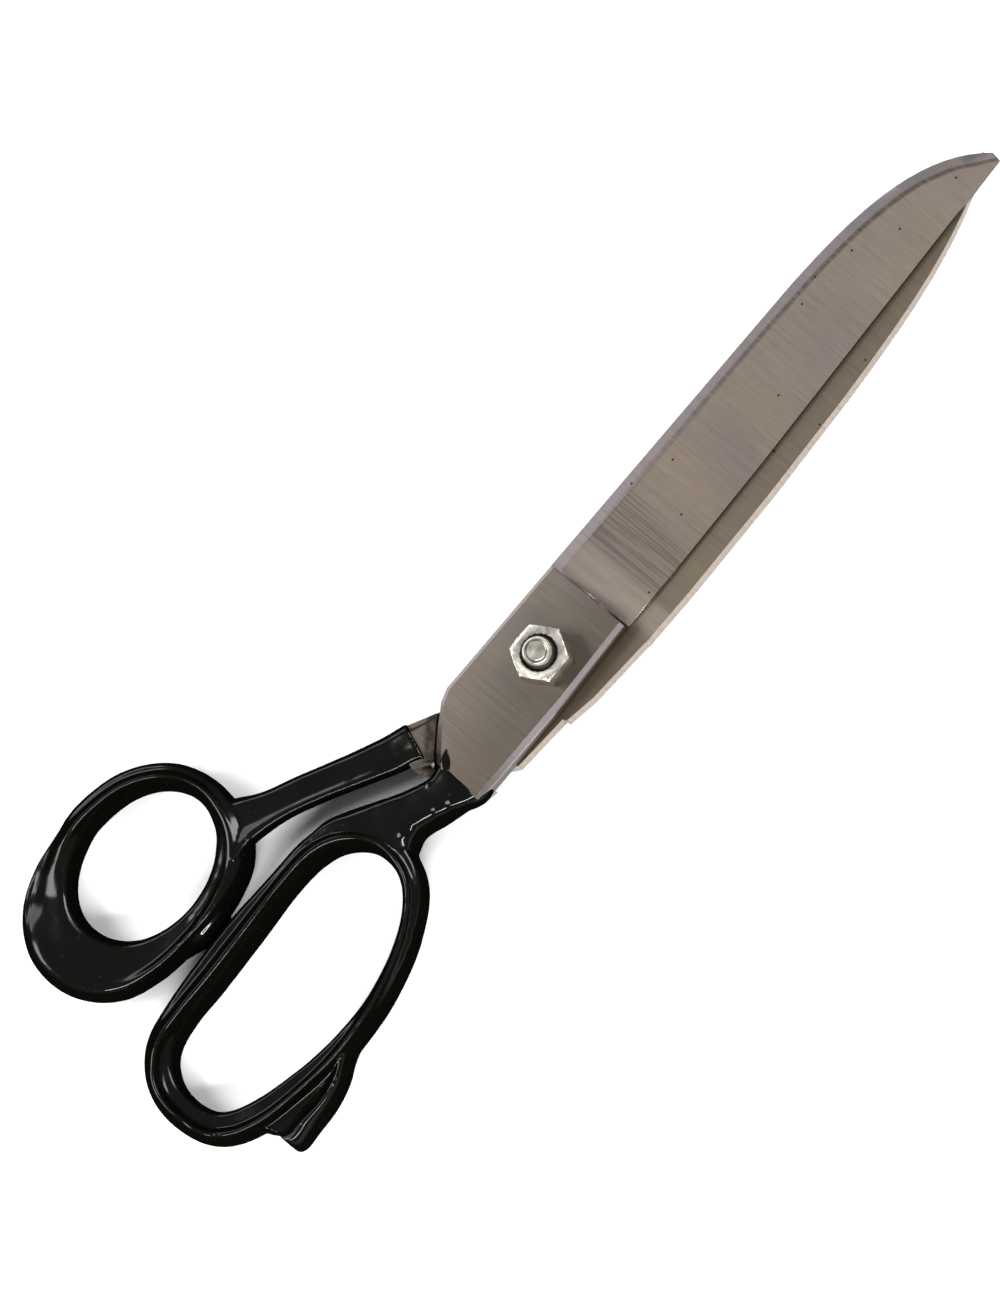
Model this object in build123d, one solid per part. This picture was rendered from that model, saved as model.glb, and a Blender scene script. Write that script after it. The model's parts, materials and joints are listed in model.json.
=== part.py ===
from build123d import *
import os
from math import atan2, cos, degrees, pi, sin

# Heavy forged fabric shears, 305 mm (12 inches) long, closed.
# Frame, in millimetres: the pivot's axis is the Z axis, and z = 0 is the table that the shears
# lie on. +X runs along the blades to the tips, +Y is the side of the thumb ring, +Z is up.

os.makedirs("parts", exist_ok=True)

# ---- Driving dimensions ----
FORGING = 5.6            # thickness of each blade at its boss
HEAD_HEIGHT = 2.2        # bolt head under the lower blade
SLIDE_GAP = 0.1          # between faces that slide on each other at the pivot
MATING_Z = HEAD_HEIGHT + FORGING      # where the lower blade's inner face lies
UPPER_Z = MATING_Z + SLIDE_GAP        # where the upper blade's inner face lies

BOLT_DIAMETER = 8.0      # M8
THREAD_DIAMETER = 7.85
HEAD_DIAMETER = 15.0
HEAD_CHAMFER = 0.6
RUNNING_CLEARANCE = 0.06
BORE_DIAMETER = BOLT_DIAMETER + 2 * RUNNING_CLEARANCE
BOLT_PROUD = 2.4         # thread that shows above the nut
END_DISC_DIAMETER = 4.7  # flat middle of the bolt's end
END_GROOVE_DIAMETER = 5.6
END_GROOVE_DEPTH = 0.35
END_CHAMFER = 0.8

NUT_FLATS = 13.0         # M8 hexagon nut across its flats
NUT_HEIGHT = 6.5
NUT_MOUTH = 9.6          # diameter of the countersink round the thread
NUT_CORNER_DROP = 0.7    # how far the rounded corners fall below the nut's two faces
NUT_MARGIN = 0.1         # between the corners and the widest part of their rounding

BOW_THICKNESS = 13.0     # coated handle, from the table up
COAT = 1.2               # thickness of the dipped coat
COAT_EASING = 1.8        # bevel round the rims of the coated handles
CORE_EASING = 1.2        # bevel round the rims of the forged bars inside
BARE_NECK_TOP = 10.6     # bare steel of the lower shank, where it rises beside the upper boss
SHANK_GAP = 0.5          # between the two forgings where their shanks pass

EDGE_THICKNESS = 1.0     # blade at its cutting edge
GRIND_START = 17.9       # where the ground face leaves the boss
GRIND_FILLET = 0.8
BLADE_ROOT = 18.1        # where the blade's solid starts inside the boss
BOSS_END = 19.0          # the boss's own solid ends inside the blade
BACK_BEVEL_WIDTH = 2.8
BACK_BEVEL_DEPTH = 0.9
BOSS_CHAMFER = 1.1
CHAMFER_BESIDE_Y = 9.0   # the chamfered sides of a boss lie beyond this, on both sides
CHAMFER_NECK_X = -32.0   # and in front of this
STRIP_STEP = -8.3        # where the lower blade's ground back starts
TIP_MARGIN = 15.0
REACH = 50.0             # longer than a shank, for cutters
FAR = 200.0              # longer than any blade, for cutters

# ---- Outlines, seen from above. A blade's are drawn with its back at +Y. ----
UPPER_BACK = [(20, 13.9), (60, 13.3), (100, 12.6), (120, 11.6), (138, 8.8), (150, 4.5), (161.6, -4.6)]
UPPER_EDGE = [(161.2, -7.1), (110, -8.3), (50, -9.7), (20, -9.6)]
LOWER_BACK = [(20, 15.3), (50, 15.6), (80, 15.0), (110, 13.5), (130, 11.3), (145, 8.2), (159.5, 3.2)]
LOWER_EDGE = [(160.4, 2.2), (130, -3.4), (80, -6.4), (20, -8.2)]

UPPER_BOSS = [(BOSS_END, 13.9), (-20.5, 14.6), (-24, 13.5), (-26.1, 12.0)]
UPPER_BOSS_END = [(-26.1, 12.0), (-31.2, 8.6), (-36.0, 4.4)]
UPPER_NECK = [(-36.0, 4.4), (-36.4, -9.2), (-31.7, -9.8), (-5, -10.3), (BOSS_END, -9.7)]
LOWER_BOSS = [(BOSS_END, 15.2), (0, 13.9), (STRIP_STEP, 12.4), (-8.7, 11.4), (-24.0, 10.3)]
LOWER_BOSS_END = [(-24.0, 10.3), (-40.0, -5.8)]
LOWER_NECK = [(-40.0, -5.8), (-38.0, -17.0), (-24.0, -13.0), (-18, -10.8), (0, -9.8), (BOSS_END, -8.2)]

FINGER_TOP = [(-31, 4.2), (-40.5, 4.7), (-50, 10.8), (-61, 18.4), (-66, 19.9), (-93, 21.5), (-107, 21.5),
              (-122, 20.2), (-134, 17.2), (-140.8, 10.8), (-143.4, 2.5), (-141.8, -7.0), (-137, -14.4),
              (-131.5, -19.0), (-127.6, -24.3)]
FINGER_TANG = [(-127.6, -24.3), (-128.9, -27.4), (-126.2, -29.5), (-113, -28.6), (-102, -25.2)]
FINGER_UNDER = [(-102, -25.2), (-88, -23.3), (-76, -20.4), (-64, -13.6), (-56.5, -6.0), (-52, -3.0),
                (-44, -6.1), (-36, -9.3), (-31, -9.2)]
FINGER_HOLE = [(-134.6, -2.0), (-132.8, 7.0), (-124, 11.4), (-100, 12.2), (-76.5, 13.0), (-65, 9.2),
               (-61.8, 2.0), (-65.5, -7.6), (-77, -15.2), (-93, -18.2), (-112, -16.6), (-129, -10.8)]

THUMB_UNDER = [(-35, 3.2), (-42.5, 8.6), (-55, 16.9), (-67, 23.4), (-80, 26.6), (-89, 25.0), (-96, 22.0)]
THUMB_PAD = [(-96, 22.0), (-105, 22.0)]
THUMB_OUTER = [(-105, 22.0), (-113, 25.3), (-124.7, 29.2), (-132, 35.4), (-135.7, 46.5), (-133, 57.2),
               (-124, 66.6), (-112.5, 69.0), (-100.5, 70.2), (-87.5, 66.8), (-77, 59.0), (-73.0, 48.5),
               (-73.6, 40.7), (-69, 36.2), (-60, 31.6), (-36.2, 18.4), (-24, 11.6)]
THUMB_HOLE_CENTRE = (-99.6, 46.8)
THUMB_HOLE_RADII = (19.8, 15.7)

UPPER_COAT_END = -36.0   # x where the finger bow's coat stops
LOWER_COAT_END = (-33.4, 17.8)   # where the thumb ring's coat stops, on the shank's outer side
LOWER_COAT_SLANT = 72.0  # direction of that end, degrees from +X

# The sides of the two shanks that pass each other at the neck
LOWER_SHANK_SIDE = [(-24.0, -10.3), (-40.0, 5.8)]
UPPER_SHANK_SIDE = [(-37.0, 3.9), (-24.0, 13.5)]
LOWER_CORNER_RADIUS = 26.9   # just outside the lower boss's corner, from the pivot


def smooth_face(*runs):
    """Face inside runs of points: two points make a line, more make a smooth curve."""
    edges = [Line(*run) if len(run) == 2 else Spline(*run) for run in runs]
    ends = [edge @ 1 for edge in edges]
    starts = [edge @ 0 for edge in edges[1:] + edges[:1]]
    joins = [Line(end, start) for end, start in zip(ends, starts) if (end - start).length > 0.01]
    return make_face(edges + joins)


def slab(face, low, high):
    """Solid between two heights with the face as its plan."""
    return extrude(Pos(0, 0, low) * face, high - low)


def side_region(side, offset_by, reach):
    """Face on the right-hand side of a line, the line moved left by offset_by."""
    start, end = Vector(*side[0]), Vector(*side[1])
    along = (end - start).normalized()
    left = Vector(-along.Y, along.X)
    a = start - along * reach + left * offset_by
    b = end + along * reach + left * offset_by
    corners = [a, b, b - left * reach, a - left * reach]
    return make_face(Polyline(*corners, close=True))


def blade_slab(back, edge):
    """Blade before grinding, with its inner face on z = 0 and its back at +Y."""
    plan = smooth_face([(BLADE_ROOT, back[0][1]), back[0]], back, [back[-1], edge[0]], edge,
                       [edge[-1], (BLADE_ROOT, edge[-1][1])])
    return slab(plan, 0, FORGING)


def ground_height(y, back_y, edge_y):
    """Height of the ground face, which falls evenly from the back to the cutting edge."""
    return EDGE_THICKNESS + (FORGING - EDGE_THICKNESS) * (y - edge_y) / (back_y - edge_y)


def grind_cutter(back_y, edge_y):
    """Wedge that leaves the blade thick at its back and thin at its cutting edge."""
    ends = [back_y + TIP_MARGIN, edge_y - TIP_MARGIN]
    heights = [ground_height(y, back_y, edge_y) for y in ends]
    section = make_face(Polyline((ends[0], heights[0]), (ends[1], heights[1]), (ends[1], 3 * FORGING),
                                 (ends[0], 3 * FORGING), close=True))
    wedge = extrude(Plane.YZ * section, FAR)
    start_edge = wedge.faces().sort_by(Axis.X)[0].edges().sort_by(Axis.Z)[0]
    return Pos(GRIND_START, 0, 0) * fillet(start_edge, GRIND_FILLET)


def bevel_cutter(back, back_y, edge_y):
    """Space over a slope that rises from the blade's back and meets the ground face beside it."""
    slope = atan2(FORGING - EDGE_THICKNESS, back_y - edge_y)
    face = Plane((0, edge_y, EDGE_THICKNESS), x_dir=(1, 0, 0), z_dir=(0, -sin(slope), cos(slope)))
    curve = [(x, (y - edge_y) / cos(slope)) for x, y in back]
    beyond = tuple(2 * last - before for before, last in zip(*curve[-2:]))
    plan = smooth_face([(0, curve[0][1]), curve[0]], curve, [curve[-1], beyond],
                       [beyond, (beyond[0], -REACH)], [(beyond[0], -REACH), (0, -REACH)])
    taper = degrees(atan2(BACK_BEVEL_WIDTH, BACK_BEVEL_DEPTH))
    height = 2 * BACK_BEVEL_DEPTH
    kept = mirror(extrude(plan, height, taper=taper), about=Plane.XY)
    space = Pos(GRIND_START + FAR / 2, 0, height / 2) * Box(FAR, FAR, height)
    return face.offset(-BACK_BEVEL_DEPTH) * (space - kept)


def is_long_side(edge):
    """Whether the edge runs along the boss, and not across its ends."""
    middle = edge @ 0.5
    return CHAMFER_NECK_X < middle.X < GRIND_START and abs(middle.Y) > CHAMFER_BESIDE_Y


def boss(back, end, neck):
    """Flat boss with its inner face on z = 0, chamfered along both sides on top."""
    runs = list(zip(back, back[1:])) + [end] + list(zip(neck, neck[1:]))
    body = slab(smooth_face(*runs), 0, FORGING)
    top = body.edges().group_by(Axis.Z)[-1]
    return chamfer(top.filter_by(is_long_side), BOSS_CHAMFER)


def forged_half(back, edge, boss_back, boss_end, neck):
    """Blade and boss in one, with the blade's outer face ground down to the cutting edge."""
    back_y, edge_y = back[0][1], edge[-1][1]
    forging = blade_slab(back, edge) + boss(boss_back, boss_end, neck)
    return forging - grind_cutter(back_y, edge_y) - bevel_cutter(back, back_y, edge_y)


def pivot_bore():
    return Cylinder(BORE_DIAMETER / 2, FAR)


def inset_runs(runs, distance):
    """The runs of a closed outline, each point moved to the left of the way round."""
    loop = list(dict.fromkeys(point for run in runs for point in run))
    moved = {}
    for before, point, after in zip(loop[-1:] + loop[:-1], loop, loop[1:] + loop[:1]):
        along = (Vector(*after) - Vector(*before)).normalized()
        moved[point] = (point[0] - along.Y * distance, point[1] + along.X * distance)
    return [[moved[point] for point in run] for run in runs]


def finger_outside(inset):
    """Outline of the finger bow and its shank, which runs anticlockwise."""
    return smooth_face(*inset_runs([FINGER_TOP, FINGER_TANG, FINGER_UNDER], inset))


def finger_hole(inset):
    """Hole of the finger bow, wider by the inset. Its outline runs clockwise."""
    return smooth_face(*inset_runs([FINGER_HOLE + FINGER_HOLE[:1]], inset))


def thumb_outside(inset):
    """Outline of the thumb ring and its shank, which runs clockwise."""
    return smooth_face(*inset_runs([THUMB_UNDER, THUMB_PAD, THUMB_OUTER], -inset))


def thumb_hole(inset):
    """Hole of the thumb ring, wider by the inset."""
    radius_x, radius_y = THUMB_HOLE_RADII
    return Pos(*THUMB_HOLE_CENTRE) * Ellipse(radius_x + inset, radius_y + inset)


def eased_prism(outline, inset, easing):
    """Prism inside the coated handle's size by the inset, with its two rims bevelled."""
    low, high = inset, BOW_THICKNESS - inset
    levels = [(low, easing), (low + easing, 0), (high - easing, 0), (high, easing)]
    return loft([Pos(0, 0, z) * outline(inset + ease) for z, ease in levels], ruled=True)


def clear_of_lower_shank():
    """Space under the upper shank where the lower forging passes, over the whole travel."""
    passing = side_region(LOWER_SHANK_SIDE, SHANK_GAP, REACH) + Circle(LOWER_CORNER_RADIUS)
    return slab(passing, -FORGING, UPPER_Z)


def clear_of_upper_shank():
    """Space over the lower shank where the upper forging passes, over the whole travel."""
    passing = side_region(UPPER_SHANK_SIDE, 2 * SHANK_GAP, REACH)
    return slab(passing, MATING_Z, 2 * BOW_THICKNESS)


def finger_bow(inset, easing):
    return eased_prism(finger_outside, inset, easing) - eased_prism(finger_hole, inset, easing)


def thumb_ring(inset, easing):
    return eased_prism(thumb_outside, inset, easing) - eased_prism(thumb_hole, inset, easing)


def finger_coat_space():
    return Pos(UPPER_COAT_END - FAR / 2, 0, 0) * Box(FAR, FAR, FAR)


def thumb_coat_space():
    return Pos(*LOWER_COAT_END) * Rot(0, 0, LOWER_COAT_SLANT) * Pos(0, FAR / 2, 0) * Box(FAR, FAR, FAR)


def upper_blade():
    forging = forged_half(UPPER_BACK, UPPER_EDGE, UPPER_BOSS, UPPER_BOSS_END, UPPER_NECK)
    bow = finger_bow(COAT, CORE_EASING) - clear_of_lower_shank()
    return Pos(0, 0, UPPER_Z) * forging + bow - pivot_bore()


def lower_blade():
    forging = forged_half(LOWER_BACK, LOWER_EDGE, LOWER_BOSS, LOWER_BOSS_END, LOWER_NECK)
    turned = Pos(0, 0, MATING_Z) * Rot(180, 0, 0) * forging
    bare_neck = slab(thumb_outside(0), COAT, BARE_NECK_TOP) - thumb_coat_space()
    bow = thumb_ring(COAT, CORE_EASING) + bare_neck - clear_of_upper_shank()
    return turned + bow - pivot_bore()


def finger_bow_coat(forging):
    return (finger_bow(0, COAT_EASING) & finger_coat_space()) - clear_of_lower_shank() - forging


def thumb_ring_coat(forging):
    return (thumb_ring(0, COAT_EASING) & thumb_coat_space()) - clear_of_upper_shank() - forging


def pivot_bolt():
    nut_top = UPPER_Z + FORGING + SLIDE_GAP + NUT_HEIGHT
    end = nut_top + BOLT_PROUD
    shank_end = UPPER_Z + FORGING
    r_head, r_shank, r_thread = HEAD_DIAMETER / 2, BOLT_DIAMETER / 2, THREAD_DIAMETER / 2
    r_groove, r_disc = END_GROOVE_DIAMETER / 2, END_DISC_DIAMETER / 2
    profile = Polyline((0, 0), (r_head - HEAD_CHAMFER, 0), (r_head, HEAD_CHAMFER), (r_head, HEAD_HEIGHT),
                       (r_shank, HEAD_HEIGHT), (r_shank, shank_end), (r_thread, shank_end),
                       (r_thread, end - END_CHAMFER),
                       (r_thread - END_CHAMFER, end), (r_groove, end), (r_groove, end - END_GROOVE_DEPTH),
                       (r_disc, end - END_GROOVE_DEPTH), (r_disc, end), (0, end), close=True)
    return revolve(Plane.XZ * make_face(profile), Axis.Z)


def pivot_nut():
    base = UPPER_Z + FORGING + SLIDE_GAP
    hexagon = extrude(RegularPolygon(NUT_FLATS / 2, 6, major_radius=False), NUT_HEIGHT)
    widest = NUT_FLATS / 2 / cos(pi / 6) + NUT_MARGIN
    barrel = Polyline((0, 0), (NUT_FLATS / 2, 0), (widest, NUT_CORNER_DROP),
                      (widest, NUT_HEIGHT - NUT_CORNER_DROP), (NUT_FLATS / 2, NUT_HEIGHT),
                      (0, NUT_HEIGHT), close=True)
    body = hexagon & revolve(Plane.XZ * make_face(barrel), Axis.Z)
    mouth_depth = (NUT_MOUTH - THREAD_DIAMETER) / 2
    mouth = Pos(0, 0, NUT_HEIGHT - mouth_depth / 2) * Cone(THREAD_DIAMETER / 2, NUT_MOUTH / 2, mouth_depth)
    bore = Pos(0, 0, NUT_HEIGHT / 2) * Cylinder(THREAD_DIAMETER / 2, 2 * NUT_HEIGHT)
    return Pos(0, 0, base) * (body - bore - mouth)


def main():
    upper = upper_blade()
    lower = lower_blade()
    nodes = {
        "upper_blade": upper,
        "lower_blade": lower,
        "finger_bow_coat": finger_bow_coat(upper),
        "thumb_ring_coat": thumb_ring_coat(lower),
        "pivot_bolt": pivot_bolt(),
        "pivot_nut": pivot_nut(),
    }
    for name, shape in nodes.items():
        print(name, len(shape.solids()), "solids", round(shape.volume), "mm3")
        export_step(shape, f"parts/{name}.step")


main()
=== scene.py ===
import json
from math import cos, exp, pi, radians, sin

import bmesh
import bpy
import numpy as np
from mathutils import Matrix, Vector, noise


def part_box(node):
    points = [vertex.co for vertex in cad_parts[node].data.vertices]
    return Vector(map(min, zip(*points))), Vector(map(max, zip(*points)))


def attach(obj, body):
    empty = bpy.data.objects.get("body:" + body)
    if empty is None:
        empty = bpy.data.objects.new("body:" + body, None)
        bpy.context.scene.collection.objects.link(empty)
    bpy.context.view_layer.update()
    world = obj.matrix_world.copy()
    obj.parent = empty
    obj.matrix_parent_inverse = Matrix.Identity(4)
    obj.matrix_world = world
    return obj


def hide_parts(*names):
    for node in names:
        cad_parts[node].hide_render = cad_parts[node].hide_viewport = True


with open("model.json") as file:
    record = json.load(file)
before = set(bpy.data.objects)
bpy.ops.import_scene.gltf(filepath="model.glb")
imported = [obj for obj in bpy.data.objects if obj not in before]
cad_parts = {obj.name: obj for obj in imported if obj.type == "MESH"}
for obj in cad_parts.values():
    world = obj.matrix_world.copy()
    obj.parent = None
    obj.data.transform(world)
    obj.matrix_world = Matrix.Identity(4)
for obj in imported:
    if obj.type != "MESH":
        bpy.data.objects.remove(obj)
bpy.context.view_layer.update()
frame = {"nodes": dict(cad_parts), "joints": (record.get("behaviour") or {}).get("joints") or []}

# Heavy forged fabric shears, closed. Frame: +X to the tips, +Y to the thumb ring, +Z up.
# Outlines are in millimetres, as in the CAD part, and MM turns them into metres.

MM = 0.001
MATING_Z = frame["joints"][0]["pos_m"][2] / MM     # where the two blades' inner faces meet
NUT_TOP_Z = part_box("pivot_nut")[1].z / MM
BOLT_TOP_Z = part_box("pivot_bolt")[1].z / MM
BOLT_HEAD_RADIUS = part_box("pivot_bolt")[1].x / MM
BOSS_TOP_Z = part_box("upper_blade")[1].z / MM
BOW_TOP_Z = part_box("finger_bow_coat")[1].z / MM

# ---- Handles ----
HANDLE_LOW = 0.25
HANDLE_HIGH = BOW_TOP_Z - 0.05
VOXEL = 0.37                # of the remesh that fuses a handle's shapes into one skin
FLOW = 12                   # rounds of smoothing after it
COAT_WAVES = ((0.13, 0.09), (0.40, 0.025))     # waves per mm, height in mm

# The section of a coated handle, from 0 to 1 across it and from 0 to 1 up it.
BEAD_WIDTH = 0.16
EDGE_POWER = 6              # how late the top turns down at its edges
EDGE_ROUNDING = 0.36
SIDE_HEIGHT = 0.45
TOP_POINTS = 25
PROFILE_POINTS = 44
UNDERSIDE = [(0.96, 0.16), (0.82, 0.03), (0.50, 0.00), (0.18, 0.03), (0.04, 0.16)]

FINGER_STATIONS = 240       # sections round the bow and round the ring
THUMB_STATIONS = 200
# The finger bow: points round its hole, clockwise from the back, each with the width of the
# band there, where across it the ridge runs and how high the shelf outside the ridge is.
FINGER_BAND = [
    (-134.9, -1.0, 8.4, 0.70, 0.78), (-133.6, 5.4, 8.6, 0.66, 0.76),
    (-129.0, 10.3, 8.4, 0.50, 0.76), (-121.0, 12.0, 8.3, 0.38, 0.76),
    (-110.0, 12.0, 9.2, 0.34, 0.77), (-96.0, 12.5, 9.1, 0.33, 0.77),
    (-82.0, 13.3, 7.3, 0.36, 0.79), (-73.0, 12.6, 7.6, 0.36, 0.83),
    (-66.6, 10.0, 8.0, 0.30, 0.86), (-62.4, 4.6, 8.0, 0.26, 0.88),
    (-61.9, -1.4, 6.6, 0.28, 0.86), (-64.6, -7.3, 5.9, 0.36, 0.82),
    (-71.0, -12.2, 5.3, 0.44, 0.80), (-80.0, -15.8, 5.3, 0.50, 0.80),
    (-92.0, -18.0, 5.5, 0.60, 0.80), (-105.0, -17.6, 6.2, 0.74, 0.82),
    (-117.0, -15.3, 6.6, 0.84, 0.84), (-127.0, -11.9, 7.7, 0.86, 0.82),
    (-133.2, -7.4, 8.4, 0.80, 0.80),
]
# Shanks and tang: pairs of points on the two sides, lowest and highest z, ridge and shelf.
FINGER_SHANK = [
    (-35.4, 4.7, -35.7, -9.8, 8.2, 13.95, 0.50, 0.97),
    (-37.4, 4.5, -37.2, -9.3, 7.9, 13.85, 0.50, 0.98),
    (-40.5, 4.7, -40.4, -8.0, 5.6, 13.50, 0.48, 1.00),
    (-46.5, 7.9, -45.6, -5.4, 1.6, 12.9, 0.45, 1.00),
    (-52.5, 12.0, -51.4, -3.1, 0.5, 12.4, 0.45, 1.00),
    (-58.5, 16.2, -57.8, -3.8, 0.4, 12.0, 0.48, 1.00),
    (-64.0, 18.6, -60.6, 6.0, 0.5, 11.7, 0.50, 1.00),
    (-72.0, 19.5, -68.0, 14.0, 0.9, 11.0, 0.50, 1.00),
]
NECK_TONGUE = [
    (-31.9, -8.6, -31.9, -9.9, 7.8, 11.6, 0.50, 0.80),
    (-33.6, -7.8, -33.6, -10.2, 7.4, 12.4, 0.50, 0.80),
    (-36.0, -7.0, -36.0, -10.1, 7.2, 13.0, 0.50, 0.80),
    (-39.0, -6.0, -39.0, -8.6, 6.5, 13.2, 0.50, 0.80),
]
FINGER_TANG = [
    (-98.5, -19.5, -98.8, -23.4, 1.4, 11.4, 0.50, 0.80),
    (-103.5, -19.5, -103.6, -25.0, 1.0, 11.2, 0.62, 0.82),
    (-108.5, -19.5, -108.7, -27.5, 0.8, 10.9, 0.72, 0.80),
    (-115.0, -19.5, -115.2, -28.9, 0.6, 10.6, 0.75, 0.78),
    (-122.0, -18.5, -122.5, -29.3, 0.6, 10.5, 0.72, 0.80),
    (-126.2, -17.5, -126.8, -29.5, 0.8, 10.2, 0.74, 0.82),
    (-127.9, -17.2, -128.8, -28.0, 1.3, 9.9, 0.70, 0.82),
    (-129.4, -16.6, -128.2, -23.4, 1.8, 9.4, 0.60, 0.82),
    (-131.2, -15.6, -129.6, -20.4, 2.4, 8.6, 0.50, 0.82),
]
# The thumb ring: its hole's centre and radii, then rows of degrees round it from +X, band
# width, ridge and shelf.
THUMB_HOLE = (-99.6, 46.8, 19.9, 15.9)
THUMB_BAND = [
    (0, 6.5, 0.42, 0.84), (30, 6.7, 0.34, 0.80), (60, 6.8, 0.32, 0.80), (90, 7.2, 0.36, 0.80),
    (110, 7.6, 0.46, 0.84), (130, 10.2, 0.46, 0.95), (150, 14.0, 0.50, 0.98),
    (170, 16.7, 0.80, 0.96), (190, 16.8, 0.92, 0.89), (210, 14.7, 0.93, 0.85),
    (230, 10.7, 0.92, 0.83), (250, 7.9, 0.88, 0.83), (270, 7.9, 0.74, 0.86),
    (290, 8.4, 0.64, 0.90), (310, 9.0, 0.55, 0.92), (330, 8.0, 0.48, 0.90),
]
THUMB_UNDERCUT = 0.34       # of the shank's width, where its inner side slants in to the underside
THUMB_SHANK = [
    (-33.2, 18.1, -37.6, 6.0, 2.4, 12.9, 0.80, 0.98),
    (-35.4, 19.0, -39.0, 7.5, 1.8, 12.9, 0.84, 0.96),
    (-40.0, 20.9, -43.6, 9.6, 1.1, 12.9, 0.86, 0.92),
    (-48.0, 25.0, -50.4, 13.8, 0.5, 12.9, 0.88, 0.89),
    (-60.0, 31.4, -60.6, 19.9, 0.4, 12.9, 0.89, 0.89),
    (-68.0, 35.6, -70.6, 24.6, 0.4, 12.9, 0.88, 0.89),
    (-73.6, 40.2, -80.0, 26.3, 0.4, 12.9, 0.82, 0.87),
    (-76.0, 40.5, -86.0, 25.7, 0.6, 12.9, 0.80, 0.86),
    (-79.5, 37.5, -91.0, 24.3, 0.7, 12.6, 0.80, 0.88),
    (-84.0, 33.8, -95.0, 22.7, 0.8, 12.0, 0.84, 0.92),
    (-88.5, 31.0, -98.0, 21.9, 1.0, 11.0, 0.84, 0.98),
]
CONTACT_PAD = [
    (-95.5, 29.0, -96.5, 22.2, 1.0, 10.6, 0.50, 1.0),
    (-99.0, 29.0, -99.5, 21.9, 1.0, 10.9, 0.50, 1.0),
    (-104.0, 29.0, -104.5, 21.9, 1.0, 10.8, 0.50, 1.0),
    (-108.0, 30.0, -107.0, 22.9, 1.2, 10.4, 0.50, 1.0),
    (-113.0, 31.0, -112.6, 25.2, 1.2, 9.6, 0.50, 1.0),
]
# Bubbles and dents that dipping left in the coat: place, radius, and height or depth.
FINGER_BUBBLES = [
    (-54.4, -0.6, 1.5, 0.5), (-45.0, -3.6, 1.5, 0.4), (-41.4, -5.4, 1.3, 0.4),
    (-77.2, 16.6, 0.7, 0.3), (-41.0, 3.0, 0.8, 0.4), (-50.6, -0.8, 1.0, 0.3),
    (-142.6, -3.6, 2.2, -0.7), (-142.6, 4.0, 1.6, -0.5), (-136.5, 13.5, 2.5, -0.5),
    (-133.0, 15.8, 1.4, 0.4), (-138.5, -11.0, 2.0, -0.4), (-66.0, -13.0, 0.9, 0.4),
    (-71.0, -16.4, 0.9, 0.4), (-75.5, -18.8, 0.8, 0.3), (-81.0, -20.6, 0.9, 0.3),
]
THUMB_BUBBLES = [
    (-104.4, 24.4, 1.0, 0.5), (-101.0, 26.0, 0.7, 0.3), (-84.8, 28.8, 0.7, 0.3),
    (-79.0, 28.8, 0.8, 0.4), (-78.4, 46.5, 0.9, 0.4), (-38.2, 9.0, 0.8, 0.4),
    (-118.0, 68.0, 1.4, -0.5), (-124.5, 65.5, 11.0, -3.0), (-113.5, 68.5, 6.0, -1.2),
    (-52.0, 20.0, 1.0, 0.2),
]
BUBBLE_REACH = 2.0          # of a bubble's radius, where its slope has died out
BUBBLE_FALL = 1.5

# A leaf of coat on the boss: places along its middle, each with half the width there.
PAINT_LICK = [(-36.0, 1.2, 0.9), (-34.8, 2.4, 1.3), (-33.4, 3.5, 1.0), (-31.9, 4.5, 0.25)]
PAINT_LICK_RISE = 0.16

# ---- Blades ----
# Where the bevel along the upper blade's back meets the ground face, from the boss to the tip.
BACK_CREASE = [(18, 11.1), (60, 10.5), (100, 9.7), (120, 8.6), (138, 5.7), (150, 1.2),
               (157, -3.6), (163, -8.2)]
# The planes past which the coats hide the forgings: a point and the way out of the piece.
UPPER_BLADE_END = ((-37.5, 0, 0), (-1, 0, 0))
LOWER_BLADE_END = ((-38.5, 14, 0), (-0.9, 0.42, 0))
# The widths by which machined edges are eased.
UPPER_BLADE_EASE = 0.24
LOWER_BLADE_EASE = 0.16
NUT_EASE = 0.14
SAME_PLACE = 0.002          # vertices nearer than this are one
FLAT_ANGLE = radians(1)     # faces that meet at less than this are one
SHARP_ANGLE = radians(13)   # edges that turn by more than this are eased

# ---- Pivot ----
THREAD_PITCH = 1.25
THREAD_DEPTH = 0.62
THREAD_RADIUS = 3.92
THREAD_LENGTH = 6.5         # below the nut's top
THREAD_STEEPNESS = 1.15     # above 1 leaves narrow flats between the grooves
THREAD_TIP_RADIUS = 3.14
THREAD_LEAD_IN = 0.9        # growth of the radius per mm below the bolt's top
THREAD_RINGS = 110
SHANK_RADIUS = 4.0
HEAD_HEIGHT = 2.2
POLE_RADIUS = 0.01          # of the tiny circles that close the bolt's two ends
BOLT_SIDES = 96
# The bolt's end face with its turned groove: radius and depth below the top.
TURNED_FACE = [(3.12, 0), (2.86, 0.02), (2.78, 0.22), (2.50, 0.30), (2.40, 0.06), (2.30, 0),
               (POLE_RADIUS, 0)]


# ---- Curves ----

def smooth_curve(points, closed, per_span=12):
    """Catmull-Rom curve through the points, in any number of columns."""
    rows = np.array(points, float)
    if closed:
        rows = np.vstack([rows[-1:], rows, rows[:2]])
    else:
        rows = np.vstack([2 * rows[0] - rows[1], rows, 2 * rows[-1] - rows[-2]])
    t = np.linspace(0, 1, per_span, endpoint=False)[:, None]
    spans = []
    for a, b, c, d in zip(rows, rows[1:], rows[2:], rows[3:]):
        spans.append(0.5 * (2 * b + (c - a) * t + (2 * a - 5 * b + 4 * c - d) * t**2
                            + (3 * b - a - 3 * c + d) * t**3))
    if not closed:
        spans.append(rows[-2:-1])
    return np.vstack(spans)


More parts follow.
